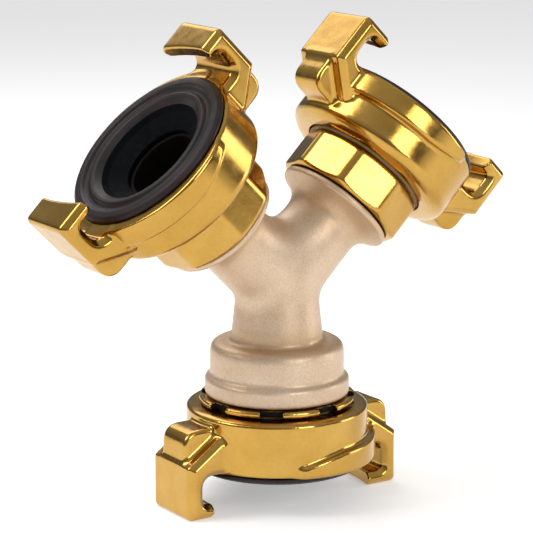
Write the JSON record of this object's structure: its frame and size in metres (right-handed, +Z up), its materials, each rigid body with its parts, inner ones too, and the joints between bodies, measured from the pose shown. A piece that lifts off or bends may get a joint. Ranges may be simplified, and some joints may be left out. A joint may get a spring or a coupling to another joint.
{
  "type": "hose splitter",
  "caption": "Brass Y-shaped hose splitter: a cast body with an inlet below and two angled outlets, each with a swivelling claw coupling and a rubber lip seal.",
  "frame": {"origin": "on the trunk's axis, level with the front faces of the inlet claws that the part stands on", "axes": "+Z up the trunk, away from the inlet; +X towards the right outlet, so both outlets lean in the XZ plane"},
  "size_m": [0.1104, 0.0412, 0.1016],
  "materials": {
    "cast_brass": "blasted casting, satin",
    "polished_brass": "polished",
    "rubber": "moulded",
    "spring_steel": "satin",
    "nylon": "matt",
    "fibre": "matt sheet"
  },
  "bodies": {
    "body": {"y_body": "cast_brass", "inlet_adapter": "polished_brass", "left_nut": "polished_brass", "right_nut": "polished_brass", "inlet_o_ring": "rubber", "inlet_snap_ring": "spring_steel", "inlet_thrust_washer": "nylon", "inlet_gasket": "fibre", "left_o_ring": "rubber", "left_snap_ring": "spring_steel", "left_thrust_washer": "nylon", "left_gasket": "fibre", "right_o_ring": "rubber", "right_snap_ring": "spring_steel", "right_thrust_washer": "nylon", "right_gasket": "fibre"},
    "inlet_claw": {"inlet_claw_ring": "polished_brass", "inlet_lip_seal": "rubber"},
    "left_claw": {"left_claw_ring": "polished_brass", "left_lip_seal": "rubber"},
    "right_claw": {"right_claw_ring": "polished_brass", "right_lip_seal": "rubber"}
  },
  "joints": [
    {"name": "inlet_swivel", "type": "hinge", "parent": "body", "child": "inlet_claw", "pos_m": [0, 0, 0.009], "axis": [0, 0, -1], "continuous": true},
    {"name": "left_swivel", "type": "hinge", "parent": "body", "child": "left_claw", "pos_m": [-0.03069, 0, 0.07709], "axis": [-0.7071, 0, 0.7071], "continuous": true},
    {"name": "right_swivel", "type": "hinge", "parent": "body", "child": "right_claw", "pos_m": [0.03069, 0, 0.07709], "axis": [0.7071, 0, 0.7071], "continuous": true}
  ]
}
